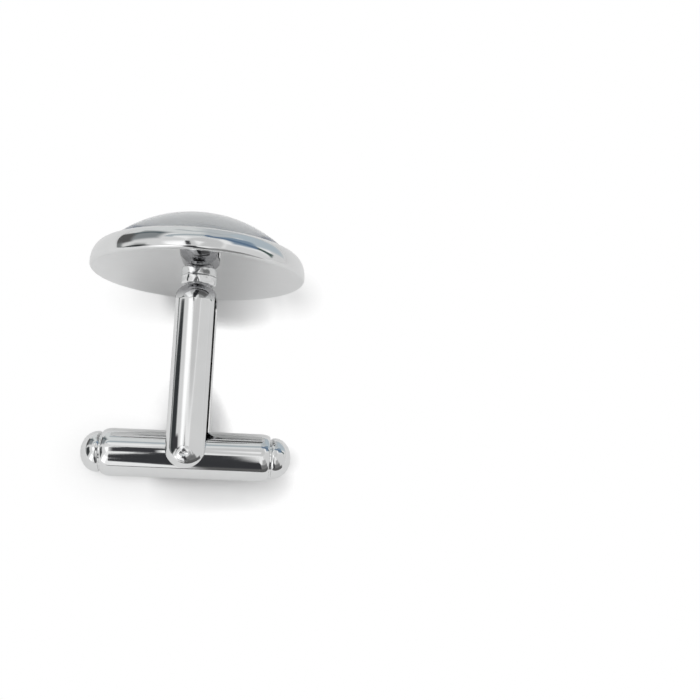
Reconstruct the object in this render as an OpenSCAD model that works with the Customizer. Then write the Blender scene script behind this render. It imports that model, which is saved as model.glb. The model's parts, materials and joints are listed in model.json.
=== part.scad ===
// Round cufflink with a glass cabochon face, a forked post and a swivelling bullet toggle.
// It lies as it does on a table, on three places that touch the plane z = 0:
// the edge of the face's back, the end of the lower arm and the left end of the toggle.
// Pieces are drawn in the link's own frame and laid down by lie_down():
// X runs along the toggle, Y along the post towards the face, Z along the hinge pin.

/* [Face] */
// Outer diameter of the bezel cup
face_d = 18; // [14:0.5:22]
// Thickness of the cup's back plate
plate_t = 0.65; // [0.5:0.05:1]
// Radius round the edge of the back plate
plate_edge_r = 0.3; // [0.2:0.05:0.4]
// Height by which the rubbed-over lip covers the foot of the dome
lip_over = 0.15; // [0.1:0.05:0.5]
// Width of the bezel's flat top at the lip
lip_w = 0.16; // [0.1:0.02:0.24]
// Height at which the wall of the cup bulges most
bulge_h = 0.5; // [0.4:0.05:0.8]
// Width of the rim round the glass cabochon
rim_w = 1; // [0.8:0.05:1.4]
// Rise of the glass dome above its straight girdle
dome_rise = 3.5; // [2:0.1:4.5]
// Height of the cabochon's straight girdle
girdle_h = 0.95; // [0.8:0.05:1.2]
// Radial gap between the cabochon and the cup
glass_gap = 0.05; // [0.02:0.01:0.1]
// Thickness of the adhesive under the foil
glue_t = 0.1; // [0.05:0.01:0.15]
// Thickness of the printed foil disc
foil_t = 0.1; // [0.05:0.01:0.15]

/* [Post] */
// Distance from the back of the face to the hinge pin
post_l = 15.05; // [12:0.05:18]
// Gap between the back plate and the crown of the fork
neck_l = 0.75; // [0.5:0.05:1.5]
// Diameter of the fork's foot, which stands on the back plate
foot_d = 2.2; // [1.6:0.1:2.6]
// Width of the fork's half-round bar
bar_w = 3.16; // [2.6:0.02:3.8]
// Thickness of the fork's half-round bar at its middle
bar_t = 0.95; // [0.8:0.05:1.4]
// Height of the straight flank at each edge of the bar
bar_flank = 0.15; // [0.08:0.01:0.3]
// Radius of the fork's outer shoulders
shoulder_r = 1.8; // [1.5:0.1:2]
// Length of the arm beyond the centre of the hinge pin
arm_end = 1.12; // [1:0.02:1.5]
// Diameter of the solder where it wets the back plate
solder_foot_d = 3.2; // [2.9:0.1:4.5]
// Diameter of the solder under the crown
solder_top_d = 2.9; // [2.7:0.1:3.2]

/* [Hinge] */
// Diameter of the hinge pin
pin_d = 1.3; // [1:0.05:1.4]
// Width across the flats of the pin's square middle
pin_square = 0.98; // [0.8:0.02:1]
// Diameter of the punch mark in each riveted end of the pin
punch_d = 0.75; // [0.5:0.05:0.9]
// Depth of the punch mark
punch_depth = 0.18; // [0.08:0.02:0.24]
// Radial running clearance of the toggle on the pin
pin_clear = 0.04; // [0.02:0.01:0.08]
// Gap between the toggle and each arm
side_gap = 0.15; // [0.1:0.01:0.3]

/* [Toggle] */
// Diameter of the toggle
toggle_d = 3.9; // [3.6:0.1:4.6]
// Length of the toggle over its end caps
toggle_l = 17.08; // [14:0.02:19]
// Bore of the toggle's tube
tube_bore = 3; // [2.8:0.05:3.1]
// Axial length of the rounding at each end of the tube
tube_round = 0.8; // [0.3:0.05:1]
// Diameter of the tube at its very end
tube_mouth_d = 3.28; // [3.2:0.01:3.4]
// Diameter of the end cap's bead
cap_d = 3.32; // [3.2:0.02:3.6]
// Length of the end cap's bead
cap_l = 1.62; // [1.2:0.02:1.9]
// Diameter of the groove between the tube and the bead
groove_d = 3.1; // [2.8:0.05:3.15]
// Width of the groove
groove_w = 0.12; // [0.08:0.02:0.3]
// Length of the cap's plug inside the tube
plug_l = 1.5; // [1:0.1:2]

/* [Detent] */
// Radial clearance of a plunger in the bore
plunger_clear = 0.08; // [0.05:0.01:0.12]
// Length of a plunger's head
plunger_l = 1.5; // [1.2:0.1:1.8]
// Diameter of the peg that centres the spring
peg_d = 1.5; // [1.2:0.1:1.6]
// Length of the peg
peg_l = 0.7; // [0.4:0.1:1]
// Gap between a plunger's nose and the round corners of the pin
nose_gap = 0.02; // [0.01:0.01:0.04]
// Diameter of the spring wire
wire_d = 0.3; // [0.2:0.05:0.35]
// Outer diameter of the spring
spring_d = 2.5; // [2.3:0.05:2.6]
// Number of turns of each spring
spring_turns = 6; // [4:1:8]

/* [Hidden] */
$fn = 96;
// Length by which a cutting tool runs past the face that it cuts
overrun = 0.5;

// Heights in the face, counted from the back of the plate
glue_y = plate_t;
foil_y = glue_y + glue_t;
glass_y = foil_y + foil_t;
girdle_top = glass_y + girdle_h;
glass_r = face_d / 2 - rim_w;
cup_bore_r = glass_r + glass_gap;
// Radius of the dome's sphere, from its chord and its rise
dome_r = (glass_r * glass_r + dome_rise * dome_rise) / (2 * dome_rise);
dome_centre = girdle_top + dome_rise - dome_r;
// The lip is rubbed over the shoulder of the dome, one glass gap away from it
lip_start = girdle_top + glass_gap;
lip_h = lip_start + lip_over;
lip_bore_r = sqrt(pow(dome_r, 2) - pow(lip_h - dome_centre, 2)) + glass_gap;
lip_outer_r = lip_bore_r + lip_w;
wall_steps = 14;

// Fork
inner_z = toggle_d / 2 + side_gap;
outer_z = inner_z + bar_t;
crown_top = -neck_l;
bar_crown = bar_t - bar_flank;
bar_r = (pow(bar_w / 2, 2) + pow(bar_crown, 2)) / (2 * bar_crown);
bend_y = crown_top - shoulder_r;
bend_z = outer_z - shoulder_r;
arm_end_y = bar_w / 2 - arm_end - post_l;
// Height of the arm's domed end over the middle of the pin
rivet_z = outer_z - bar_r + sqrt(pow(bar_r, 2) - pow(arm_end_y + post_l, 2));

// Toggle, counted from the middle of the hinge pin
toggle_r = toggle_d / 2;
bead_start = toggle_l / 2 - cap_l;
tube_end = bead_start - groove_w;
plug_start = tube_end - plug_l;
// The plungers are drawn back to where the pin's corners pass, so that the toggle turns freely
nose_x = pin_d / 2 + nose_gap;
head_end = nose_x + plunger_l;
cap_widest_share = 0.16;
round_steps = 8;
cap_steps = 12;

// Spring
spring_r = (spring_d - wire_d) / 2;
spring_start = head_end + wire_d / 2;
spring_end = plug_start - wire_d / 2;
rings_per_turn = 16;
wire_sides = 6;
spring_rings = spring_turns * rings_per_turn;

// Rest on the table, found in a few steps: the lean of the post and the roll about it
edge_y = plate_edge_r;
edge_z = face_d / 2 - plate_edge_r;
mouth_r = tube_mouth_d / 2;
settle_steps = 6;

// Lean that rests both the plate's edge and the lower arm's domed end on the table
function lean_at(turn) =
    let (
        along = edge_y - arm_end_y,
        across = edge_z - (outer_z - bar_r) * cos(turn)
    )
    atan2(across, along) - asin((bar_r - plate_edge_r) / norm([along, across]));

// Height of the middle of the back plate over the table
function drop_at(tilt) = edge_z * cos(tilt) + plate_edge_r - edge_y * sin(tilt);

// How far the tube's rounded end reaches past its own shoulder circle, for a tip of the toggle
function round_reach(tip) =
    mouth_r * cos(tip) + norm([tube_round * sin(tip), (toggle_r - mouth_r) * cos(tip)]);

function next_roll(turn) =
    let (
        tilt = lean_at(turn),
        pin_height = drop_at(tilt) - post_l * sin(tilt),
        reach = round_reach(asin(sin(turn) * cos(tilt)))
    )
    asin((pin_height - reach) / ((tube_end - tube_round) * cos(tilt)));

function settle(steps, turn) = steps == 0 ? turn : settle(steps - 1, next_roll(turn));

roll = settle(settle_steps, 0);
lean = lean_at(roll);
table_drop = drop_at(lean);
// Furthest reach of the dome and of the toggle, seen level from the side
front_reach = dome_r + dome_centre * cos(lean);
back_tip = asin(sin(lean) * sin(roll));
back_reach = post_l * cos(lean) + (tube_end - tube_round) * sin(back_tip) + round_reach(back_tip);
centre_shift = (back_reach - front_reach) / 2;

module lie_down() {
    translate([0, centre_shift, table_drop])
        rotate([lean, 0, 0])
            rotate([0, -roll, 0]) children();
}

// Turns a shape drawn round Z so that its axis lies along the post
module along_post() {
    rotate([-90, 0, 0]) children();
}

// Turns a shape drawn round Z so that its axis lies along the toggle
module along_toggle() {
    translate([0, -post_l, 0]) rotate([0, 90, 0]) children();
}

// Half-ellipse shaped outer wall of the cup, from the bulge up to the lip
function wall_point(i) =
    let (turn = 90 * i / wall_steps)
    [
        lip_outer_r + (face_d / 2 - lip_outer_r) * cos(turn),
        bulge_h + (lip_h - bulge_h) * sin(turn)
    ];

// Round back edge of the plate
function edge_point(i) =
    let (turn = -90 + 90 * i / wall_steps)
    [
        face_d / 2 - plate_edge_r + plate_edge_r * cos(turn),
        plate_edge_r + plate_edge_r * sin(turn)
    ];

module bezel_cup() {
    outline = [
        [0, 0],
        for (i = [0 : wall_steps]) edge_point(i),
        for (i = [0 : wall_steps]) wall_point(i),
        [lip_bore_r, lip_h],
        [cup_bore_r, lip_start],
        [cup_bore_r, plate_t],
        [0, plate_t]
    ];
    color("silver")
        along_post()
            rotate_extrude() polygon(outline);
}

module adhesive_bed() {
    color("ivory")
        along_post()
            translate([0, 0, glue_y]) cylinder(h = glue_t, r = glass_r);
}

module foil_disc() {
    color("steelblue")
        along_post()
            translate([0, 0, foil_y]) cylinder(h = foil_t, r = glass_r);
}

module glass_cabochon() {
    color("lightcyan", 0.5)
        along_post()
            rotate_extrude()
                union() {
                    translate([0, glass_y]) square([glass_r, girdle_h]);
                    intersection() {
                        translate([0, dome_centre]) circle(r = dome_r);
                        translate([0, girdle_top]) square([glass_r, dome_rise]);
                    }
                }
}

// Section of the half-round bar: its flat side at height 0, its round side up
module bar_section() {
    intersection() {
        translate([0, bar_t - bar_r]) circle(r = bar_r);
        translate([-bar_w / 2, 0]) square([bar_w, bar_t]);
    }
}

// Half of the bar's section, to be turned round the arm's end
module half_bar_section() {
    intersection() {
        bar_section();
        square([bar_w, bar_t]);
    }
}

// One arm of the fork with its shoulder and its domed end, on the side of +Z
module fork_arm() {
    translate([0, bend_y, inner_z])
        rotate([90, 0, 0])
            linear_extrude(height = bend_y - arm_end_y) bar_section();
    translate([0, arm_end_y, inner_z])
        rotate_extrude() half_bar_section();
    translate([0, bend_y, bend_z])
        rotate([0, -90, 0])
            rotate_extrude(angle = 90)
                translate([inner_z - bend_z, 0]) rotate([0, 0, -90]) bar_section();
}

module post_fork() {
    color("silver")
        difference() {
            union() {
                fork_arm();
                mirror([0, 0, 1]) fork_arm();
                translate([0, crown_top - bar_t, -bend_z])
                    linear_extrude(height = 2 * bend_z) bar_section();
                along_post()
                    translate([0, 0, crown_top - bar_t / 2])
                        cylinder(h = neck_l + bar_t / 2, d = foot_d);
            }
            translate([0, -post_l, 0])
                cylinder(h = 2 * (outer_z + overrun), d = pin_d, center = true);
        }
}

module solder_joint() {
    color("gainsboro")
        along_post()
            translate([0, 0, crown_top])
                difference() {
                    cylinder(h = neck_l, d1 = solder_top_d, d2 = solder_foot_d);
                    translate([0, 0, -overrun])
                        cylinder(h = neck_l + 2 * overrun, d = foot_d);
                }
}

// Space inside the round outer surfaces of the two arms and their domed ends, near the pin
module between_arm_faces() {
    for (side = [-1, 1])
        translate([0, arm_end_y, side * (outer_z - bar_r)]) {
            sphere(r = bar_r);
            along_post() cylinder(h = pin_d, r = bar_r);
        }
    translate([0, -post_l, 0])
        cube([bar_w, 2 * pin_d, 2 * inner_z], center = true);
}

// Punch mark in the pin's end: a shallow cone
module punch_mark() {
    translate([0, -post_l, rivet_z - punch_depth])
        cylinder(h = 2 * punch_depth, d1 = 0, d2 = 2 * punch_d);
}

// Square middle of the pin, which the plungers press on
module pin_flats() {
    difference() {
        cube([2 * pin_d, 2 * pin_d, tube_bore], center = true);
        cube([pin_square, pin_square, tube_bore + overrun], center = true);
    }
}

module hinge_pin() {
    color("lightgray")
        difference() {
            intersection() {
                translate([0, -post_l, 0])
                    cylinder(h = 2 * outer_z, d = pin_d, center = true);
                between_arm_faces();
            }
            translate([0, -post_l, 0]) pin_flats();
            punch_mark();
            mirror([0, 0, 1]) punch_mark();
        }
}

// Rounded right-hand end of the tube, from the full diameter to the mouth
function tube_point(i) =
    let (turn = 90 * i / round_steps)
    [
        tube_mouth_d / 2 + (toggle_r - tube_mouth_d / 2) * cos(turn),
        tube_end - tube_round + tube_round * sin(turn)
    ];

module toggle_tube() {
    right_end = [for (i = [0 : round_steps]) tube_point(i)];
    left_end = [for (i = [round_steps : -1 : 0]) [tube_point(i)[0], -tube_point(i)[1]]];
    outline = concat([[tube_bore / 2, tube_end]], [[tube_bore / 2, -tube_end]], left_end, right_end);
    color("silver")
        difference() {
            along_toggle() rotate_extrude() polygon(outline);
            translate([0, -post_l, 0])
                cylinder(h = toggle_d + overrun, r = pin_d / 2 + pin_clear, center = true);
        }
}

// Rounded bead of the cap: short quarter-ellipse behind its widest place, long one before it
function bead_back(i) =
    let (turn = -90 + 90 * i / cap_steps)
    [
        groove_d / 2 + (cap_d - groove_d) / 2 * cos(turn),
        bead_start + cap_widest_share * cap_l * (1 + sin(turn))
    ];
function bead_front(i) =
    let (turn = 90 * i / cap_steps)
    [
        cap_d / 2 * cos(turn),
        bead_start + cap_l * (cap_widest_share + (1 - cap_widest_share) * sin(turn))
    ];

module end_cap() {
    outline = [
        [0, plug_start],
        [tube_bore / 2, plug_start],
        [tube_bore / 2, tube_end],
        [groove_d / 2, tube_end],
        for (i = [0 : cap_steps]) bead_back(i),
        for (i = [1 : cap_steps]) bead_front(i)
    ];
    color("silver")
        along_toggle() rotate_extrude() polygon(outline);
}

module end_cap_right() {
    end_cap();
}

module end_cap_left() {
    mirror([1, 0, 0]) end_cap();
}

// Centre line of the spring, and the ring of wire points round it
function coil_angle(i) = 360 * i / rings_per_turn;
function coil_height(i) = spring_start + (spring_end - spring_start) * i / spring_rings;
function wire_point(i, j) =
    let (
        around = 360 * j / wire_sides,
        out = spring_r + wire_d / 2 * cos(around)
    )
    [
        out * cos(coil_angle(i)),
        out * sin(coil_angle(i)),
        coil_height(i) + wire_d / 2 * sin(around)
    ];

module detent_spring() {
    points = [
        for (i = [0 : spring_rings])
            for (j = [0 : wire_sides - 1]) wire_point(i, j)
    ];
    sides = [
        for (i = [0 : spring_rings - 1])
            for (j = [0 : wire_sides - 1])
                let (next = (j + 1) % wire_sides)
                [
                    i * wire_sides + j,
                    i * wire_sides + next,
                    (i + 1) * wire_sides + next,
                    (i + 1) * wire_sides + j
                ]
    ];
    first_end = [for (j = [wire_sides - 1 : -1 : 0]) j];
    last_end = [for (j = [0 : wire_sides - 1]) spring_rings * wire_sides + j];
    color("gray")
        along_toggle()
            polyhedron(points, concat(sides, [first_end, last_end]));
}

module detent_spring_right() {
    detent_spring();
}

module detent_spring_left() {
    mirror([1, 0, 0]) detent_spring();
}

module detent_plunger() {
    color("darkgray")
        along_toggle() {
            translate([0, 0, nose_x]) cylinder(h = plunger_l, r = tube_bore / 2 - plunger_clear);
            translate([0, 0, nose_x]) cylinder(h = plunger_l + peg_l, d = peg_d);
        }
}

module detent_plunger_right() {
    detent_plunger();
}

module detent_plunger_left() {
    mirror([1, 0, 0]) detent_plunger();
}

lie_down() bezel_cup();
lie_down() adhesive_bed();
lie_down() foil_disc();
lie_down() glass_cabochon();
lie_down() post_fork();
lie_down() solder_joint();
lie_down() hinge_pin();
lie_down() toggle_tube();
lie_down() end_cap_left();
lie_down() end_cap_right();
lie_down() detent_spring_left();
lie_down() detent_spring_right();
lie_down() detent_plunger_left();
lie_down() detent_plunger_right();
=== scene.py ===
"""A cufflink with a glass cabochon face, a forked post and a bullet toggle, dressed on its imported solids.

Shapes are drawn in the link's own frame in millimetres, with x along the toggle to the right, y along
the post towards the face and z along the hinge pin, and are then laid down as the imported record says.
"""
import json
import math

import bmesh
import bpy
from mathutils import Matrix, Vector, noise


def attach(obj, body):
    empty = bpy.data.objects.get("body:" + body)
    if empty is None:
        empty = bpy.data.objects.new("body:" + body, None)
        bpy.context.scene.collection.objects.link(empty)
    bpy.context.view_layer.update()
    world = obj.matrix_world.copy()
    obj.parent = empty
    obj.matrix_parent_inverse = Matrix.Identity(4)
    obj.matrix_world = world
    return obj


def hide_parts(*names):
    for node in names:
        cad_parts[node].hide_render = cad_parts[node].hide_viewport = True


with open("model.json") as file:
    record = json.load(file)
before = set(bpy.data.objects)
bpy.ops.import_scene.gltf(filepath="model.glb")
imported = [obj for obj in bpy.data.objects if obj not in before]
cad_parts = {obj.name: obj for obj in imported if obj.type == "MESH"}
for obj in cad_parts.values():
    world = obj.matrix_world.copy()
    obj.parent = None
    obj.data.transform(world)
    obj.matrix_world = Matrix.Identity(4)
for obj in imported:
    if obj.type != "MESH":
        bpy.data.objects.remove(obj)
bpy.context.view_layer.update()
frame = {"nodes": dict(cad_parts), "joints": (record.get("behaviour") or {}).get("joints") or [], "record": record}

MM = 0.001
WHITE = (1, 1, 1, 1)
SIDE_NAMES = {-1: "left", 1: "right"}

# Sizes of the solids, in millimetres
FACE_R = 9.0
PLATE_T = 0.65
EDGE_R = 0.3
BULGE = 0.5
GLUE_T = 0.1
FOIL_T = 0.1
GLASS_R = 8.0
GIRDLE_H = 0.95
DOME_RISE = 3.5
GLASS_GAP = 0.05
LIP_OVER = 0.15
LIP_W = 0.16
NECK_L = 0.75
FOOT_R = 1.1
POST_L = 15.05
BAR_W = 3.16
BAR_T = 0.95
FLANK = 0.15
SHOULDER_R = 1.8
ARM_END = 1.12
SOLDER_TOP_R = 1.45
SOLDER_FOOT_R = 1.6
PIN_R = 0.65
PIN_SQUARE = 0.98
PUNCH_R = 0.375
PUNCH_DEPTH = 0.18
PIN_CLEAR = 0.04
SIDE_GAP = 0.15
TOGGLE_R = 1.95
TOGGLE_HALF = 8.54
BORE_R = 1.5
TUBE_ROUND = 0.8
MOUTH_R = 1.64
CAP_R = 1.66
CAP_L = 1.62
CAP_WIDEST_SHARE = 0.16
GROOVE_R = 1.55
GROOVE_W = 0.12
PLUG_L = 1.5
PLUNGER_CLEAR = 0.08
PLUNGER_L = 1.5
PEG_R = 0.75
PEG_L = 0.7
NOSE_GAP = 0.02
WIRE_R = 0.15
SPRING_R = 1.1
SPRING_TURNS = 6

# Places that follow from them
GLASS_Y = PLATE_T + GLUE_T + FOIL_T
GIRDLE_TOP = GLASS_Y + GIRDLE_H
DOME_SPHERE = (GLASS_R ** 2 + DOME_RISE ** 2) / (2 * DOME_RISE)
DOME_CENTRE = GIRDLE_TOP + DOME_RISE - DOME_SPHERE
LIP_START = GIRDLE_TOP + GLASS_GAP
LIP_H = LIP_START + LIP_OVER
LIP_BORE = math.sqrt(DOME_SPHERE ** 2 - (LIP_H - DOME_CENTRE) ** 2) + GLASS_GAP
LIP_OUTER = LIP_BORE + LIP_W
INNER_Z = TOGGLE_R + SIDE_GAP
OUTER_Z = INNER_Z + BAR_T
BAR_CROWN = BAR_T - FLANK
BAR_ARC = ((BAR_W / 2) ** 2 + BAR_CROWN ** 2) / (2 * BAR_CROWN)
BEND_Y = -NECK_L - SHOULDER_R
BEND_Z = OUTER_Z - SHOULDER_R
ARM_END_Y = BAR_W / 2 - ARM_END - POST_L
BEAD_START = TOGGLE_HALF - CAP_L
TUBE_END = BEAD_START - GROOVE_W
PLUG_START = TUBE_END - PLUG_L

# The link's own frame in the row frame
record = frame["record"]
swivel = next(j for j in frame["joints"] if j["name"] == "toggle_swivel")
post_axis = -Vector(record["mounts"][0]["axis"]).normalized()
pin_axis = Vector(swivel["axis"]).normalized()
toggle_axis = post_axis.cross(pin_axis)
link_turn = Matrix((toggle_axis, post_axis, pin_axis)).transposed()
link_origin = Vector(swivel["pos_m"]) + post_axis * POST_L * MM
LINK = Matrix.Translation(link_origin) @ link_turn.to_4x4() @ Matrix.Scale(MM, 4)


# ---------------------------------------------------------------- materials

def new_material(name):
    material = bpy.data.materials.new(name)
    material.use_nodes = True
    tree = material.node_tree
    return material, tree, tree.nodes["Principled BSDF"]


def add_node(tree, kind, **inputs):
    node = tree.nodes.new(kind)
    for name, value in inputs.items():
        node.inputs[name].default_value = value
    return node


def link_space(tree):
    """Position on the piece in the link's own frame, in millimetres."""
    place = tree.nodes.new("ShaderNodeTexCoord")
    mapping = tree.nodes.new("ShaderNodeMapping")
    back = link_turn.transposed()
    mapping.inputs["Scale"].default_value = (1 / MM,) * 3
    mapping.inputs["Rotation"].default_value = back.to_euler("XYZ")
    mapping.inputs["Location"].default_value = -(back @ link_origin) / MM
    tree.links.new(place.outputs["Object"], mapping.inputs["Vector"])
    return mapping.outputs["Vector"]


def noise_value(tree, vector, scale, detail, stretch=(1, 1, 1)):
    if stretch != (1, 1, 1):
        squeeze = tree.nodes.new("ShaderNodeVectorMath")
        squeeze.operation = "MULTIPLY"
        squeeze.inputs[1].default_value = stretch
        tree.links.new(vector, squeeze.inputs[0])
        vector = squeeze.outputs[0]
    node = add_node(tree, "ShaderNodeTexNoise", Scale=scale, Detail=detail)
    tree.links.new(vector, node.inputs["Vector"])
    return node.outputs["Fac"]


def math_value(tree, operation, *values):
    node = tree.nodes.new("ShaderNodeMath")
    node.operation = operation
    for socket, value in zip(node.inputs, values):
        if isinstance(value, (int, float)):
            socket.default_value = value
        else:
            tree.links.new(value, socket)
    return node.outputs[0]


def ramp(tree, value, *stops):
    node = tree.nodes.new("ShaderNodeValToRGB")
    elements = node.color_ramp.elements
    while len(elements) < len(stops):
        elements.new(0.5)
    for element, (place, colour) in zip(elements, stops):
        element.position = place
        element.color = (*colour, 1)
    tree.links.new(value, node.inputs["Fac"])
    return node.outputs["Color"]


def map_range(tree, value, low, high, start=0.3, stop=0.7):
    """Takes start..stop to low..high. Left out, start and stop suit a noise's middle values."""
    node = add_node(
        tree, "ShaderNodeMapRange",
        **{"From Min": start, "From Max": stop, "To Min": low, "To Max": high},
    )
    tree.links.new(value, node.inputs["Value"])
    return node.outputs["Result"]


def bump(tree, shader, *layers):
    """Layers of (height, size in micrometres), one over the other."""
    normal = None
    for height, microns in layers:
        node = add_node(tree, "ShaderNodeBump", Strength=1.0, Distance=microns * 1e-6)
        tree.links.new(height, node.inputs["Height"])
        if normal:
            tree.links.new(normal, node.inputs["Normal"])
        normal = node.outputs["Normal"]
    tree.links.new(normal, shader.inputs["Normal"])


def metal(name, tone, roughness, wave=1.2, lump=0.0, grain=(1, 1, 1), tint=0.02, painted_dark_band=None):
    """Bright metal: slight clouding, a rolling surface and fine handling marks along the grain.

    wave and lump are heights in micrometres. The last argument, if given, is (tone, y where it starts, y where
    it is full): painted shade, the colour turning darker towards higher y.
    """
    material, tree, shader = new_material(name)
    place = link_space(tree)
    shader.inputs["Metallic"].default_value = 1.0
    cloud = noise_value(tree, place, 0.7, 3.0)
    dull = tuple(max(0.0, c - tint) for c in tone)
    colour = ramp(tree, cloud, (0.35, dull), (0.65, tone))
    # Painted shade: the colour goes over to the darker tone between start y and full y, and stays dark beyond
    if painted_dark_band:
        painted_dark_tone, start_y, full_y = painted_dark_band
        axes = tree.nodes.new("ShaderNodeSeparateXYZ")
        tree.links.new(place, axes.inputs[0])
        mix = tree.nodes.new("ShaderNodeMix")
        mix.data_type = "RGBA"
        mix.inputs["B"].default_value = (*painted_dark_tone, 1)
        tree.links.new(map_range(tree, axes.outputs["Y"], 0.0, 1.0, start_y, full_y), mix.inputs["Factor"])
        tree.links.new(colour, mix.inputs["A"])
        colour = mix.outputs["Result"]
    tree.links.new(colour, shader.inputs["Base Color"])
    marks = noise_value(tree, place, 9.0, 4.0, grain)
    rough = map_range(tree, marks, roughness[0], roughness[1])
    tree.links.new(rough, shader.inputs["Roughness"])
    layers = [
        (noise_value(tree, place, 0.8, 1.0), wave),
        (noise_value(tree, place, 14.0, 3.0, grain), 0.12),
    ]
    if lump:
        layers.append((noise_value(tree, place, 3.2, 2.0), lump))
    bump(tree, shader, *layers)
    return material


def glass_material():
    material, tree, shader = new_material("clear_glass")
    place = link_space(tree)
    shader.inputs["Base Color"].default_value = (0.97, 0.99, 1.0, 1)
    shader.inputs["IOR"].default_value = 1.5
    shader.inputs["Transmission Weight"].default_value = 1.0
    smear = noise_value(tree, place, 1.1, 3.0)
    tree.links.new(map_range(tree, smear, 0.0, 0.03), shader.inputs["Roughness"])
    bump(tree, shader, (noise_value(tree, place, 0.35, 1.0), 1.0))
    return material


def foil_material():
    """Printed foil: plain rings and rays in blues."""
    material, tree, shader = new_material("printed_foil")
    place = link_space(tree)
    axes = tree.nodes.new("ShaderNodeSeparateXYZ")
    tree.links.new(place, axes.inputs[0])
    x, z = axes.outputs["X"], axes.outputs["Z"]
    ray_count, ring_turns = 24.0, 5.2
    radius = math_value(tree, "SQRT", math_value(tree, "ADD", math_value(tree, "POWER", x, 2.0),
                                                 math_value(tree, "POWER", z, 2.0)))
    angle = math_value(tree, "ARCTAN2", z, x)
    rays = math_value(tree, "SINE", math_value(tree, "MULTIPLY", angle, ray_count))
    rings = math_value(tree, "SINE", math_value(tree, "MULTIPLY", radius, ring_turns))
    figure = math_value(tree, "MULTIPLY", rays, rings)
    fine = noise_value(tree, place, 22.0, 2.0)
    shade = math_value(tree, "ADD", math_value(tree, "MULTIPLY", figure, 0.18),
                       math_value(tree, "MULTIPLY", radius, 0.11))
    shade = math_value(tree, "ADD", shade, math_value(tree, "MULTIPLY", fine, 0.08))
    colour = ramp(tree, shade, (0.1, (0.16, 0.52, 0.68)), (0.45, (0.05, 0.26, 0.5)),
                  (0.75, (0.02, 0.1, 0.28)), (1.0, (0.03, 0.2, 0.36)))
    tree.links.new(colour, shader.inputs["Base Color"])
    tree.links.new(map_range(tree, fine, 0.22, 0.32), shader.inputs["Roughness"])
    shader.inputs["Coat Weight"].default_value = 0.4
    bump(tree, shader, (fine, 0.5))
    return material


def adhesive_material():
    material, tree, shader = new_material("set_glue")
    place = link_space(tree)
    cloud = noise_value(tree, place, 1.5, 3.0)
    tree.links.new(ramp(tree, cloud, (0.3, (0.86, 0.85, 0.78)), (0.7, (0.93, 0.92, 0.87))),
                   shader.inputs["Base Color"])
    tree.links.new(map_range(tree, cloud, 0.25, 0.4), shader.inputs["Roughness"])
    bump(tree, shader, (noise_value(tree, place, 4.0, 2.0), 4.0))
    return material


BRIGHT = (0.78, 0.785, 0.785)
PLATING = metal("bright_plating", BRIGHT, (0.04, 0.09))
# Painted shade: the bar turns dark over its crown, standing in for the dark reflection it shows beside the plate
BAR_PLATING = metal("bar_plating", BRIGHT, (0.04, 0.09), painted_dark_band=((0.38, 0.38, 0.39), -2.4, -1.7))
# A lighter copy of the plating for the arms' flat inner sides: painted light against the shade between the arms
INNER_LIGHTENED = metal("plating_lightened_inside", (0.93, 0.93, 0.93), (0.04, 0.09))
TURNED = metal("bright_plating_turned", BRIGHT, (0.03, 0.07), grain=(0.3, 3, 3))
# The plate's back: smoother than the rest, and its tone set lighter, painted light against the floor's shade it
# reflects
PLATE_BACK_LIGHTENED = metal("plate_back_plating_lightened", (0.83, 0.835, 0.835), (0.02, 0.05), wave=0.8)
SOLDER = metal("plated_solder", (0.82, 0.825, 0.825), (0.12, 0.2), wave=3.0, lump=2.5)
PIN_STEEL = metal("plated_steel", (0.8, 0.805, 0.81), (0.1, 0.18), lump=3.0)
SPRING_STEEL = metal("drawn_wire", (0.5, 0.5, 0.51), (0.2, 0.32), tint=0.05)
BRASS = metal("turned_brass", (0.78, 0.62, 0.32), (0.15, 0.25), grain=(5, 0.6, 0.6), tint=0.05)
GLASS = glass_material()
FOIL = foil_material()
GLUE = adhesive_material()


# ---------------------------------------------------------------- shapes

def arc(centre, radii, start, stop, steps):
    """Points of an elliptical arc, angles in degrees."""
    rx, ry = radii if isinstance(radii, tuple) else (radii, radii)
    turn = [math.radians(start + (stop - start) * i / steps) for i in range(steps + 1)]
    return [(centre[0] + rx * math.cos(t), centre[1] + ry * math.sin(t)) for t in turn]


def with_supports(points, closed=False, near=0.04, far=0.6):
    """Adds points close to the ends of long straight runs, so that flat faces shade flat."""
    out = []
    count = len(points)
    for i in range(count if closed else count - 1):
        a, b = Vector(points[i]), Vector(points[(i + 1) % count])
        out.append(tuple(a))
        length = (b - a).length
        if length > 4 * near:
            spans = max(1, int((length - 2 * near) / far))
            shares = [near + (length - 2 * near) * k / spans for k in range(spans + 1)]
            out += [tuple(a + (b - a) * (s / length)) for s in shares]
    if not closed:
        out.append(tuple(points[-1]))
    return out


def ring_point(axis, radius, height, turn):
    c, s = radius * math.cos(turn), radius * math.sin(turn)
    if axis == "x":
        return (height, c - POST_L, s)
    if axis == "y":
        return (s, height, c)
    return (c, s - POST_L, height)


def bridge(mesh, low, high, material=0):
    """Faces between two closed rows of points. A row of a single point is a tip."""
    count = max(len(low), len(high))
    for k in range(count):
        n = (k + 1) % count
        corners = [low[k % len(low)], low[n % len(low)], high[n % len(high)], high[k % len(high)]]
        unique = list(dict.fromkeys(corners))
        if len(unique) > 2:
            face = mesh.faces.new(unique)
            face.material_index = material(face) if callable(material) else material


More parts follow.
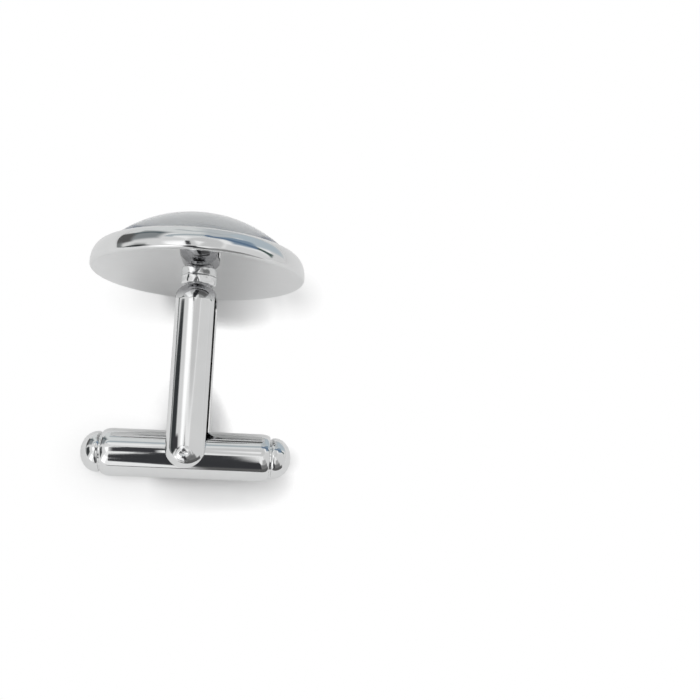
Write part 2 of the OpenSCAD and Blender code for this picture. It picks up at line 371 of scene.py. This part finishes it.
def lathe(mesh, profile, axis, segments=192, closed=False, shape=None, material=0):
    """Turns a profile of (radius, height) round an axis.

    shape(radius, height, turn) may move a point. material is an index, or gives one for a face.
    """
    rows = []
    for radius, height in profile:
        if radius < 1e-7:
            rows.append([mesh.verts.new(ring_point(axis, 0, height, 0))])
            continue
        row = []
        for k in range(segments):
            turn = 2 * math.pi * k / segments
            r, h = shape(radius, height, turn) if shape else (radius, height)
            row.append(mesh.verts.new(ring_point(axis, r, h, turn)))
        rows.append(row)
    pairs = list(zip(rows, rows[1:]))
    if closed:
        pairs.append((rows[-1], rows[0]))
    for low, high in pairs:
        bridge(mesh, low, high, material)


def make_object(name, mesh):
    bmesh.ops.recalc_face_normals(mesh, faces=mesh.faces)
    data = bpy.data.meshes.new(name)
    mesh.to_mesh(data)
    mesh.free()
    obj = bpy.data.objects.new(name, data)
    bpy.context.scene.collection.objects.link(obj)
    return obj


def dress(obj, body, node, slot, *materials, sharp=32):
    """Lays a finished shape down in the row frame and puts it in the place of its solid."""
    obj.data.transform(LINK)
    obj.data.shade_smooth()
    obj.data.set_sharp_from_angle(angle=math.radians(sharp))
    for material in materials:
        obj.data.materials.append(material)
    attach(obj, body)
    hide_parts(node)


def drill(obj, radius, half):
    """Takes the hinge pin's hole out of obj."""
    mesh = bmesh.new()
    lathe(mesh, [(0, -half), (radius, -half), (radius, half), (0, half)], "z", 96)
    cutter = make_object("pin_cutter", mesh)
    modifier = obj.modifiers.new("cut", "BOOLEAN")
    modifier.operation = "DIFFERENCE"
    modifier.solver = "EXACT"
    modifier.object = cutter
    graph = bpy.context.evaluated_depsgraph_get()
    old = obj.data
    obj.data = bpy.data.meshes.new_from_object(obj.evaluated_get(graph), depsgraph=graph)
    obj.modifiers.clear()
    bpy.data.meshes.remove(old)
    bpy.data.objects.remove(cutter)


# ---------------------------------------------------------------- face

def build_cup():
    plate = with_supports([(0.0, 0.0)] + arc((FACE_R - EDGE_R, EDGE_R), EDGE_R, -90, 0, 14))
    wall = arc((LIP_OUTER, BULGE), (FACE_R - LIP_OUTER, LIP_H - BULGE), 0, 90, 40)
    inside = with_supports([
        (LIP_OUTER, LIP_H), (LIP_BORE, LIP_H), (GLASS_R + GLASS_GAP, LIP_START),
        (GLASS_R + GLASS_GAP, PLATE_T), (0.0, PLATE_T),
    ])
    satin_r, satin_y = FACE_R - EDGE_R * 0.9, EDGE_R * 0.2

    def finish(face):
        """0 for the back of the plate, a smoother copy of the plating painted lighter, 1 for the bright rest."""
        middle = face.calc_center_median()
        return 0 if middle.y < satin_y and math.hypot(middle.x, middle.z) < satin_r else 1

    mesh = bmesh.new()
    lathe(mesh, plate + wall[:-1] + inside, "y", 256, material=finish)
    dress(make_object("bezel_cup_skin", mesh), "link", "bezel_cup", "plating", PLATE_BACK_LIGHTENED, PLATING)


def build_glass():
    edge = 0.06
    angle = math.degrees(math.asin(GLASS_R / DOME_SPHERE))
    dome = arc((0, DOME_CENTRE), DOME_SPHERE, 90 - angle, 90, 60)
    base = with_supports([(0, GLASS_Y), (GLASS_R - edge, GLASS_Y), (GLASS_R, GLASS_Y + edge),
                          (GLASS_R, GIRDLE_TOP)])
    mesh = bmesh.new()
    lathe(mesh, base + dome[1:-1] + [(0, GIRDLE_TOP + DOME_RISE)], "y", 192)
    dress(make_object("glass_dome", mesh), "link", "glass_cabochon", "glass", GLASS)


def build_foil():
    low = PLATE_T + GLUE_T
    high = low + FOIL_T * 0.98
    mesh = bmesh.new()
    outline = with_supports([(0, low), (GLASS_R, low), (GLASS_R, high), (0, high)])
    lathe(mesh, outline, "y", 128)
    dress(make_object("foil_print", mesh), "link", "foil_disc", "foil", FOIL)


# ---------------------------------------------------------------- post

def half_section():
    """Right half of the bar's section, from the middle of its round side to the middle of its flat side."""
    side = BAR_W / 2
    edge = math.degrees(math.asin(side / BAR_ARC))
    soft, rubbed = 0.09, 0.05
    top = [p for p in arc((0, BAR_T - BAR_ARC), BAR_ARC, 90, 90 - edge, 26) if p[0] < side - rubbed]
    # The sharp edge between the round side and the flank is rubbed over
    over = [(side - 0.022, FLANK + 0.035), (side - 0.006, FLANK + 0.01), (side, FLANK - 0.02)]
    corner = arc((side - soft, soft), soft, 0, -90, 6)
    flat = [(side * share, 0.0) for share in (0.9, 0.6, 0.3, 0.0)]
    return top + over + corner + flat


def surface_height(x, y):
    """Height over the post's axis of the front arm's round side at (x, y), its domed end included."""
    beyond = min(0.0, y - ARM_END_Y)
    return OUTER_Z - BAR_ARC + math.sqrt(max(0.0, BAR_ARC ** 2 - x * x - beyond * beyond))


def bar_stations():
    """Places along the bar's flat side and the way out of it, both as (y, z).

    They run from the front arm's end round the crown to the back arm's end.
    """
    arm_steps, bend_steps, crown_steps = 60, 28, 12
    front = []
    for i in range(arm_steps):
        front.append(((ARM_END_Y + (BEND_Y - ARM_END_Y) * i / arm_steps, INNER_Z), (0.0, 1.0)))
    inner_bend = SHOULDER_R - BAR_T
    for i in range(bend_steps + 1):
        t = math.radians(90 * i / bend_steps)
        out = (math.sin(t), math.cos(t))
        front.append(((BEND_Y + inner_bend * out[0], BEND_Z + inner_bend * out[1]), out))
    crown = [((-NECK_L - BAR_T, BEND_Z * (1 - 2 * i / crown_steps)), (1.0, 0.0))
             for i in range(1, crown_steps)]
    return front + crown + [((y, -z), (out_y, -out_z)) for (y, z), (out_y, out_z) in reversed(front)]


def round_end(mesh, half, ring, side):
    """Turns the bar's half section round an arm's end, from one half of the ring to the other."""
    turns = 40
    last = len(half) - 1
    made = {}
    for k in range(1, turns):
        t = math.pi * k / turns
        for j in range(1, last):
            r, h = half[j]
            made[k, j] = mesh.verts.new((r * math.cos(t), ARM_END_Y - r * math.sin(t), side * (INNER_Z + h)))

    def corner(k, j):
        if k == 0 or j in (0, last):
            return ring[j, 1]
        return ring[j, -1] if k == turns else made[k, j]

    for k in range(turns):
        for j in range(last):
            corners = (corner(k, j), corner(k, j + 1), corner(k + 1, j + 1), corner(k + 1, j))
            mesh.faces.new(list(dict.fromkeys(corners)))


def build_fork():
    half = half_section()
    last = len(half) - 1
    mesh = bmesh.new()
    rings = []
    for (y, z), (out_y, out_z) in bar_stations():
        ring = {}
        for j, (r, h) in enumerate(half):
            place = (y + out_y * h, z + out_z * h)
            ring[j, 1] = mesh.verts.new((r, *place))
            ring[j, -1] = ring[j, 1] if j in (0, last) else mesh.verts.new((-r, *place))
        rings.append(ring)
    for a, b in zip(rings, rings[1:]):
        for side in (1, -1):
            for j in range(last):
                mesh.faces.new((a[j, side], a[j + 1, side], b[j + 1, side], b[j, side]))
    round_end(mesh, half, rings[0], 1)
    round_end(mesh, half, rings[-1], -1)
    fork = make_object("fork_skin", mesh)
    drill(fork, PIN_R, OUTER_Z + 1)
    foot_start = -NECK_L - BAR_T / 2
    foot = bmesh.new()
    foot.from_mesh(fork.data)
    lathe(foot, with_supports([(0, foot_start), (FOOT_R, foot_start), (FOOT_R, 0), (0, 0)]), "y", 96)
    foot.to_mesh(fork.data)
    foot.free()
    # Painted light: the flat inner sides get a lighter copy of the plating, against the dark the arms reflect into
    # each other
    inner_face_z = INNER_Z + 0.02
    for polygon in fork.data.polygons:
        inside = abs(polygon.center.z) < inner_face_z and polygon.center.y < -NECK_L - BAR_T
        polygon.material_index = 1 if inside and abs(polygon.normal.z) > 0.9 else 0
    dress(fork, "link", "post_fork", "plating", BAR_PLATING, INNER_LIGHTENED)


def build_solder():
    """Lumpy collar between the plate and the crown, its two edges rolled in a little."""
    bore, thinnest = FOOT_R + 0.005, FOOT_R + 0.06
    sunk, rolled, end_gap = 0.08, 0.05, 0.002

    def lumps(radius, height, turn):
        if radius < FOOT_R + 0.05:
            return radius, height
        place = Vector((math.cos(turn) * SOLDER_TOP_R, height, math.sin(turn) * SOLDER_TOP_R))
        swell = 0.16 * noise.noise(place * 0.9) + 0.07 * noise.noise(place * 1.9 + Vector((7, 3, 1)))
        return max(thinnest, radius + swell), height

    steps = 36
    outline = []
    for i in range(steps + 1):
        s = i / steps
        full = math.sin(math.pi * min(1.0, s * 8) / 2) * math.sin(math.pi * min(1.0, (1 - s) * 8) / 2)
        radius = SOLDER_TOP_R + (SOLDER_FOOT_R - SOLDER_TOP_R) * s - sunk - rolled * (1 - full)
        outline.append((radius, -NECK_L + end_gap + (NECK_L - 2 * end_gap) * s))
    outline += [(bore, outline[-1][1]), (bore, outline[0][1])]
    mesh = bmesh.new()
    lathe(mesh, outline, "y", 160, closed=True, shape=lumps)
    dress(make_object("solder_bead", mesh), "link", "solder_joint", "solder", SOLDER, sharp=60)


def build_pin():
    """Riveted pin: its ends follow the arms' round sides, with a raised rim and a punched middle."""
    segments = 72
    radius = PIN_R - 0.004
    square_half = BORE_R
    rim_h, sunk, uneven = 0.016, 0.012, 0.012
    dent_x, dent_y, dent_depth = PUNCH_R, PUNCH_R * 0.45, PUNCH_DEPTH * 0.8
    turns = [2 * math.pi * k / segments for k in range(segments)]
    mesh = bmesh.new()

    def body_ring(z, square=False):
        row = []
        for t in turns:
            flat = PIN_SQUARE / 2 / max(abs(math.cos(t)), abs(math.sin(t)))
            r = min(radius, flat) if square else radius
            row.append(mesh.verts.new((r * math.cos(t), r * math.sin(t) - POST_L, z)))
        return row

    def end_ring(share, side):
        r = radius * share
        rim = rim_h * (1 - share ** 6) * (1 + 0.5 * noise.noise(Vector((r * 4, side, 2))))
        row = []
        for t in turns:
            x, y = r * math.cos(t), r * math.sin(t) - POST_L
            away = math.hypot(x / dent_x, (y + POST_L) / dent_y)
            dent = dent_depth * max(0.0, 1 - away) ** 0.8
            rough = uneven * noise.noise(Vector((x * 3.0, y * 3.0, side * 5.0)))
            row.append(mesh.verts.new((x, y, side * (surface_height(x, y) - sunk + rim - dent + rough))))
        return row

    rings = []
    for side in (-1, 1):
        ends = [end_ring(share, side)
                for share in (0.08, 0.2, 0.32, 0.44, 0.52, 0.6, 0.7, 0.8, 0.88, 0.94, 0.98, 1.0)]
        tip_z = sum(v.co.z for v in ends[0]) / segments - side * 0.02
        tip = [mesh.verts.new((0, -POST_L, tip_z))]
        body = [body_ring(side * (square_half + 0.4)), body_ring(side * (square_half + 0.01)),
                body_ring(side * square_half, square=True)]
        part = [tip] + ends + body
        rings += part if side < 0 else part[::-1]
    for low, high in zip(rings, rings[1:]):
        bridge(mesh, low, high)
    dress(make_object("rivet_pin", mesh), "link", "hinge_pin", "pin_steel", PIN_STEEL)


# ---------------------------------------------------------------- toggle

def build_tube():
    end = arc((MOUTH_R, TUBE_END - TUBE_ROUND), (TOGGLE_R - MOUTH_R, TUBE_ROUND), 0, 90, 20)
    right = end + [(BORE_R, TUBE_END)]
    left = [(r, -h) for r, h in reversed(right)]
    mesh = bmesh.new()
    lathe(mesh, with_supports(left + right, closed=True, far=0.25), "x", 192, closed=True)
    tube = make_object("toggle_skin", mesh)
    drill(tube, PIN_R + PIN_CLEAR, TOGGLE_R + 1)
    dress(tube, "toggle", "toggle_tube", "plating", TURNED)


def build_cap(side):
    widest = CAP_WIDEST_SHARE * CAP_L
    middle = BEAD_START + widest
    back = arc((GROOVE_R, middle), (CAP_R - GROOVE_R, widest), -90, 0, 16)
    front = arc((0, middle), (CAP_R, CAP_L - widest), 0, 90, 32)
    plug_r, seat = BORE_R - 0.01, TUBE_END + 0.004
    outline = with_supports([(0, PLUG_START), (plug_r, PLUG_START), (plug_r, seat), (GROOVE_R, seat),
                             (GROOVE_R, BEAD_START)])
    profile = outline + back[1:] + front[1:-1] + [(0, TOGGLE_HALF)]
    name = SIDE_NAMES[side]
    mesh = bmesh.new()
    lathe(mesh, [(r, side * h) for r, h in profile], "x", 160)
    dress(make_object(f"cap_{name}_skin", mesh), "toggle", f"end_cap_{name}", "plating", TURNED)


def build_spring(side):
    """Coil of drawn wire."""
    start = PIN_R + NOSE_GAP + PLUNGER_L + WIRE_R
    stop = PLUG_START - WIRE_R
    rings_per_turn, around = 32, 12
    steps = SPRING_TURNS * rings_per_turn
    wire = WIRE_R * 0.98
    mesh = bmesh.new()
    rings = []
    for i in range(steps + 1):
        t = 2 * math.pi * i / rings_per_turn
        height = start + (stop - start) * i / steps
        centre = Vector((height, SPRING_R * math.cos(t) - POST_L, SPRING_R * math.sin(t)))
        out = Vector((0, math.cos(t), math.sin(t)))
        row = []
        for j in range(around):
            a = 2 * math.pi * j / around
            p = centre + out * wire * math.cos(a) + Vector((wire * math.sin(a), 0, 0))
            row.append(mesh.verts.new((side * p.x, p.y, p.z)))
        rings.append(row)
    for low, high in zip(rings, rings[1:]):
        bridge(mesh, low, high)
    mesh.faces.new(rings[0])
    mesh.faces.new(rings[-1])
    name = SIDE_NAMES[side]
    dress(make_object(f"spring_{name}_wire", mesh), "toggle", f"detent_spring_{name}", "spring_steel",
          SPRING_STEEL, sharp=50)


def build_plunger(side):
    nose = PIN_R + NOSE_GAP
    end = nose + PLUNGER_L
    r, soft = BORE_R - PLUNGER_CLEAR, 0.08
    profile = with_supports([
        (0, nose), (r - soft, nose), (r, nose + soft), (r, end - soft), (r - soft, end),
        (PEG_R, end), (PEG_R, end + PEG_L - soft), (PEG_R - soft, end + PEG_L), (0, end + PEG_L),
    ])
    name = SIDE_NAMES[side]
    mesh = bmesh.new()
    lathe(mesh, [(radius, side * h) for radius, h in profile], "x", 72)
    dress(make_object(f"plunger_{name}_skin", mesh), f"plunger_{name}", f"detent_plunger_{name}",
          "plunger_brass", BRASS)


build_cup()
build_glass()
build_foil()
build_fork()
build_solder()
build_pin()
build_tube()
for hand in (-1, 1):
    build_cap(hand)
    build_spring(hand)
    build_plunger(hand)
glue = frame["nodes"]["adhesive_bed"]
glue.data.materials.clear()
glue.data.materials.append(GLUE)


# ---------------------------------------------------------------- studio

def direction(azimuth, elevation):
    """Azimuth 0 points to the camera's side and 90 to the right; elevation is above the table."""
    a, e = math.radians(azimuth), math.radians(elevation)
    return Vector((math.sin(a) * math.cos(e), -math.cos(a) * math.cos(e), math.sin(e)))


MIDDLE = Vector((0, 0, 0.006))


def ease(share):
    share = min(1.0, max(0.0, share))
    return share * share * (3 - 2 * share)


def grey(value):
    return (value, value, value)


def sheet_of_light(name, tone, grid):
    """A studio card that only reflections show, from rows of (point, cover)."""
    mesh = bmesh.new()
    cover = mesh.verts.layers.float.new("cover")
    made = []
    for row in grid:
        made.append([mesh.verts.new(point) for point, share in row])
        for vert, (point, share) in zip(made[-1], row):
            vert[cover] = share
    for low, high in zip(made, made[1:]):
        for i in range(len(low) - 1):
            mesh.faces.new((low[i], low[i + 1], high[i + 1], high[i]))
    obj = make_object(name, mesh)
    material, tree, shader = new_material(name)
    tree.nodes.remove(shader)
    glow = add_node(tree, "ShaderNodeEmission", Strength=1.0)
    glow.inputs["Color"].default_value = (*tone, 1)
    clear = tree.nodes.new("ShaderNodeBsdfTransparent")
    share = tree.nodes.new("ShaderNodeAttribute")
    share.attribute_name = "cover"
    mix = tree.nodes.new("ShaderNodeMixShader")
    tree.links.new(share.outputs["Fac"], mix.inputs["Fac"])
    tree.links.new(clear.outputs[0], mix.inputs[1])
    tree.links.new(glow.outputs[0], mix.inputs[2])
    tree.links.new(mix.outputs[0], tree.nodes["Material Output"].inputs["Surface"])
    obj.data.materials.append(material)
    obj.visible_camera = False
    obj.visible_diffuse = False
    obj.visible_shadow = False
    obj.visible_volume_scatter = False


def card(name, tone, *rows, soft=4.0, distance=0.31, sides=True):
    """A card from rows of its (left, right) corners, each (azimuth, elevation), from low to high.

    Its edges fade over soft degrees. A card without sides goes all the way round.
    """
    across, step_degrees = 28, 1.5
    heights = [0.0]
    for low, high in zip(rows, rows[1:]):
        middle_low, middle_high = (direction(*corner[0]) + direction(*corner[1]) for corner in (low, high))
        step = middle_low.angle(middle_high) if sides else math.radians(high[0][1] - low[0][1])
        heights.append(heights[-1] + math.degrees(step))
    total = heights[-1]
    along = max(6, round((total + soft) / step_degrees))
    grid = []
    for i in range(along + 1):
        height = -soft / 2 + (total + soft) * i / along
        k = max(j for j in range(len(rows) - 1) if j == 0 or height >= heights[j])
        share = (height - heights[k]) / (heights[k + 1] - heights[k])
        left, right = ([a + (b - a) * share for a, b in zip(rows[k][side], rows[k + 1][side])]
                       for side in (0, 1))
        width = max(1.0, math.degrees(direction(*left).angle(direction(*right)))) if sides else 1.0
        outside = soft / 2 / width if sides else 0.0
        row = []
        for j in range(across + 1):
            u = -outside + (1 + 2 * outside) * j / across
            place = [a + (b - a) * u for a, b in zip(left, right)]
            edge = min(height, total - height) + soft / 2
            if sides:
                edge = min(edge, min(u, 1 - u) * width + soft / 2)
            row.append((MIDDLE + direction(*place) * distance, ease(edge / soft)))
        grid.append(row)
    sheet_of_light(name, tone, grid)


def panel(name, tone, left, right, low, high, **look):
    """A card between two azimuths and two elevations."""
    card(name, tone, ((left, low), (right, low)), ((left, high), (right, high)), **look)


def band(name, tone, width, *path, distance=0.28):
    """A thin curved card along a path of (azimuth, elevation), width degrees wide."""
    steps, half_across, end_steps = 8, 6, 3
    fine = []
    for i in range(len(path) - 1):
        before, a, b, after = (path[min(len(path) - 1, max(0, i + k))] for k in (-1, 0, 1, 2))
        for step in range(steps):
            t = step / steps
            fine.append([0.5 * (2 * q + (r - p) * t + (2 * p - 5 * q + 4 * r - w) * t * t
                                + (3 * q - p - 3 * r + w) * t ** 3)
                         for p, q, r, w in zip(before, a, b, after)])
    fine.append(list(path[-1]))
    ways = [direction(*place) for place in fine]
    grid = []
    for i, way in enumerate(ways):
        ahead = ways[min(len(ways) - 1, i + 1)] - ways[max(0, i - 1)]
        aside = way.cross(ahead).normalized()
        end = ease(min(i, len(ways) - 1 - i) / end_steps)
        row = []
        for j in range(-half_across, half_across + 1):
            share = ease((1 - abs(j) / half_across) * 2) * end
            off = aside * math.radians(width / 2 * j / half_across)
            row.append((MIDDLE + (way + off) * distance, share))
        grid.append(row)
    sheet_of_light(name, tone, grid)


def rug(name, tone, left, right, front, back, soft):
    """A card lying on the floor, in millimetres."""
    steps, lift = 14, 0.2
    grid = []
    for i in range(steps + 1):
        y = front + (back - front) * i / steps
        xs = [left + (right - left) * j / steps for j in range(steps + 1)]
        grid.append([(Vector((x, y, lift)) * MM, ease(min(x - left, right - x, y - front, back - y) / soft))
                     for x in xs])
    sheet_of_light(name, tone, grid)


def toggle_flag(name, tone, left, right, away):
    """A strip away from the toggle's upper front side, from left to right along it, in millimetres."""
    along, across = 14, 10
    low, high = 64, 94
    facing = Vector((-0.21, -0.26, 0.94)) * TOGGLE_R
    grid = []
    for i in range(along + 1):
        x = left + (right - left) * i / along
        on_tube = Vector(swivel["pos_m"]) + (toggle_axis * x + facing) * MM
        row = []
        for j in range(across + 1):
            turn = math.radians(low + (high - low) * j / across)
            way = Vector((-0.3, -0.95 * math.cos(turn), 0.95 * math.sin(turn)))
            share = ease(min(i, along - i) / 2) * ease(min(j, across - j) / 2)
            row.append((on_tube + way * away * MM, share))
        grid.append(row)
    sheet_of_light(name, tone, grid)


def lamp(name, azimuth, elevation, distance, width, height, power):
    data = bpy.data.lights.new(name, "AREA")
    data.shape = "RECTANGLE"
    data.size, data.size_y = width, height
    data.energy = power
    obj = bpy.data.objects.new(name, data)
    bpy.context.scene.collection.objects.link(obj)
    obj.location = MIDDLE + direction(azimuth, elevation) * distance
    obj.rotation_mode = "QUATERNION"
    obj.rotation_quaternion = direction(azimuth, elevation).to_track_quat("Z", "Y")
    # Reflections show the cards and not the lamps
    obj.visible_glossy = False
    obj.visible_transmission = False


def seen_ray(tree):
    """1 for camera, glossy and transmission rays."""
    path = tree.nodes.new("ShaderNodeLightPath")
    total = math_value(tree, "ADD", path.outputs["Is Camera Ray"], path.outputs["Is Glossy Ray"])
    total = math_value(tree, "ADD", total, path.outputs["Is Transmission Ray"])
    return math_value(tree, "MINIMUM", total, 1.0)


def build_world():
    """Plain even light on the object. Cameras and reflections see white."""
    world = bpy.data.worlds.new("studio")
    bpy.context.scene.world = world
    world.use_nodes = True
    tree = world.node_tree
    tree.nodes.clear()
    seen = add_node(tree, "ShaderNodeBackground", Color=WHITE, Strength=1.0)
    lights = add_node(tree, "ShaderNodeBackground", Color=WHITE, Strength=0.72)
    mix = tree.nodes.new("ShaderNodeMixShader")
    out = tree.nodes.new("ShaderNodeOutputWorld")
    tree.links.new(seen_ray(tree), mix.inputs["Fac"])
    tree.links.new(lights.outputs[0], mix.inputs[1])
    tree.links.new(seen.outputs[0], mix.inputs[2])
    tree.links.new(mix.outputs[0], out.inputs["Surface"])


# Painted shade: set places where the camera sees the floor's own grey and shadow instead of white,
# beside the right ends of the face and the toggle: x, y and reach in millimetres, and how much of the shade shows
# in the middle
SHADED = (
    (4.2, 8.8, 3.0, 0.6),
    (6.2, 9.3, 3.0, 0.6),
    (8.2, 9.8, 3.0, 0.6),
    (10.0, 10.3, 3.2, 0.65),
    (7.4, -9.8, 2.2, 0.5),
    (8.7, -7.6, 1.5, 0.6),
)


def vector_length(tree, vector, origin=None):
    """Length of a vector, or its distance from an origin."""
    node = tree.nodes.new("ShaderNodeVectorMath")
    node.operation = "DISTANCE" if origin else "LENGTH"
    if origin:
        node.inputs[1].default_value = origin
    tree.links.new(vector, node.inputs[0])
    return node.outputs["Value"]


def shade_share(tree, place):
    """How much of the floor's own shade the camera sees: rendered shade near the object by occlusion, made
    stronger on its right side by a set gain and at the set places, which is painted shade.
    """
    near = add_node(tree, "ShaderNodeAmbientOcclusion", Distance=0.003)
    near.samples = 6
    axes = tree.nodes.new("ShaderNodeSeparateXYZ")
    tree.links.new(place, axes.inputs[0])
    gain = map_range(tree, axes.outputs["X"], 0.8, 4.5, -0.003, 0.003)
    share = math_value(tree, "MULTIPLY", math_value(tree, "SUBTRACT", 1.0, near.outputs["AO"]), gain)
    for x, y, reach, depth in SHADED:
        away = vector_length(tree, place, (x * MM, y * MM, 0.0))
        share = math_value(tree, "MAXIMUM", share, map_range(tree, away, depth, 0.0, 0.0004, reach * MM))
    return share


def build_floor():
    """Pale floor. It keeps the object's shadow close to the object and turns to plain white further out."""
    half = 1.5
    mesh = bmesh.new()
    mesh.faces.new([mesh.verts.new((x, y, 0)) for x, y in
                    ((-half, -half), (half, -half), (half, half), (-half, half))])
    floor = make_object("floor", mesh)
    material, tree, shader = new_material("floor")
    shader.inputs["Base Color"].default_value = (*grey(0.8), 1)
    shader.inputs["Roughness"].default_value = 0.9
    shader.inputs["Specular IOR Level"].default_value = 0.1
    glow = add_node(tree, "ShaderNodeEmission", Color=WHITE, Strength=1.0)
    place = tree.nodes.new("ShaderNodeTexCoord").outputs["Object"]
    # The camera sees white where nothing stands close by, and reflections see it further out
    open_share = math_value(tree, "MAXIMUM", math_value(tree, "SUBTRACT", 1.0, shade_share(tree, place)), 0.0)
    far = map_range(tree, vector_length(tree, place), 0.0, 1.0, 0.3, 0.6)
    path = tree.nodes.new("ShaderNodeLightPath")
    mirrored = math_value(tree, "MAXIMUM", path.outputs["Is Glossy Ray"], path.outputs["Is Transmission Ray"])
    white = math_value(tree, "ADD", math_value(tree, "MULTIPLY", open_share, path.outputs["Is Camera Ray"]),
                       math_value(tree, "MULTIPLY", far, mirrored))
    mix = tree.nodes.new("ShaderNodeMixShader")
    tree.links.new(white, mix.inputs["Fac"])
    tree.links.new(shader.outputs[0], mix.inputs[1])
    tree.links.new(glow.outputs[0], mix.inputs[2])
    tree.links.new(mix.outputs[0], tree.nodes["Material Output"].inputs["Surface"])
    floor.data.materials.append(material)


def build_camera():
    """The photograph's camera, placed in the link's own frame, in degrees and millimetres."""
    tilt, yaw, roll = (math.radians(a) for a in (-9.19, 5.94, -2.15))
    distance, aside, above = 70.0, -12.919, 6.191
    lens, sensor = 42.06, 36.0
    # From the link's x, y and z to the photograph's right, up and back
    turn = Matrix.Rotation(roll, 3, "Z") @ Matrix.Rotation(tilt, 3, "X") @ Matrix.Rotation(yaw, 3, "Y")
    data = bpy.data.cameras.new("camera")
    data.lens, data.sensor_width = lens, sensor
    camera = bpy.data.objects.new("camera", data)
    bpy.context.scene.collection.objects.link(camera)
    place = -(turn.transposed() @ Vector((aside, above, -distance)))
    camera.matrix_world = (Matrix.Translation(link_origin) @ link_turn.to_4x4()
                           @ Matrix.Translation(place * MM) @ turn.transposed().to_4x4())
    data.clip_start, data.clip_end = 0.001, 10.0
    bpy.context.scene.camera = camera


# Cards before the object. The dark ones draw the toggle's band and the arm's left edge
DARK = (0.045, 0.046, 0.05)
card("flag_front", DARK,
     ((-7, 1), (7, 1)), ((-9, 8), (7, 8)), ((-15, 16), (5, 16)), ((-21, 22), (3, 22)), ((-22, 32), (1, 32)),
     ((-28, 40), (-8, 40)), ((-31, 50), (-12, 50)), ((-34, 58), (-16, 58)), ((-40, 62), (-19, 62)),
     ((-39, 65), (-22, 66)), soft=3.0, distance=0.29)
band("strip_over", DARK, 6.0, (-98, 73.5), (-76, 73), (-62, 72.6))
toggle_flag("flag_toggle", (0.05, 0.05, 0.055), -6.3, -1.5, 4.0)
rug("floor_flag", grey(0.1), -24, 42, -82, -40, 6)
panel("front_low", grey(0.12), -5, 50, -12, 5, distance=0.045)
card("front_right", grey(0.2), ((1, 2), (46, 2)), ((1, 30), (42, 30)), soft=8.0, distance=0.3)
card("front_right_high", grey(0.42), ((8, 30), (40, 30)), ((10, 52), (34, 52)), soft=8.0)
panel("window", grey(1.5), -48, -28, 2, 35, soft=5.0)
card("key_card", grey(1.3), ((-90, 51), (-45, 51)), ((-90, 71), (-50, 71)), soft=9.0, distance=0.3)

# Cards to the left
card("flag_left", (0.04, 0.045, 0.047), ((-95, 7), (-60, 3)), ((-98, 14), (-62, 12)),
     ((-98, 22), (-64, 22)), ((-94, 31), (-68, 30)), soft=6.0, distance=0.29)
panel("left_foot", (0.22, 0.23, 0.23), -110, -66, -8, 5, distance=0.3)
panel("left_low", grey(0.11), -136, -106, -6, 17, soft=6.0)
card("left_mid", (0.27, 0.29, 0.3), ((-145, 14), (-108, 14)), ((-145, 44), (-110, 44)), soft=10.0,
     distance=0.315)
band("left_arc", (0.12, 0.15, 0.16), 8.0, (-132, 10), (-136, 21), (-139, 32), (-136, 40))
card("card_left", grey(0.8), ((-150, -8), (-52, -8)), ((-116, 71), (-52, 71)), soft=6.0, distance=0.335)

# Cards behind, with the blues that the rim shows
panel("back_left", (0.76, 0.78, 0.78), 180, 218, -8, 70, soft=10.0, distance=0.33)
panel("back_right", (0.55, 0.58, 0.6), 145, 188, -8, 70, soft=8.0, distance=0.332)
band("back_arc", (0.48, 0.52, 0.54), 7.0, (200, 27), (190, 40), (180, 38), (170, 42), (160, 44))
band("back_high", (0.45, 0.5, 0.53), 10.0, (-118, 52), (-130, 52), (-142, 57), (-165, 61), (-182, 60))
card("blue_low", (0.5, 0.57, 0.62), ((112, 4), (162, 4)), ((118, 40), (160, 40)), soft=8.0, distance=0.325)
card("blue_high", (0.23, 0.31, 0.4), ((105, 36), (132, 36)), ((104, 48), (148, 48)), ((108, 62), (160, 62)),
     soft=8.0, distance=0.32)
band("blue_arc", (0.13, 0.2, 0.3), 9.0,
     (182, 59), (168, 64), (148, 61), (130, 56), (115, 45), (108, 35))
band("green_arc", (0.06, 0.1, 0.09), 9.0, (114, 42), (108, 33), (104, 26), (101, 17), distance=0.285)

# Cards to the right and over the object
panel("card_right", grey(0.76), 22, 98, -8, 70, soft=5.0, distance=0.335)
panel("right_low", grey(0.75), 88, 150, -8, 20, soft=5.0, distance=0.33)
panel("card_over", grey(0.68), -180, 180, 72, 90, distance=0.34, sides=False)
panel("over_bright", grey(1.05), -106, -36, 80, 89, distance=0.33)

lamp("key", -64, 62, 0.35, 0.17, 0.13, 0.34)
lamp("fill", 60, 50, 0.45, 0.25, 0.25, 0.2)
build_world()
build_floor()
build_camera()
bpy.context.scene.view_settings.view_transform = "Standard"
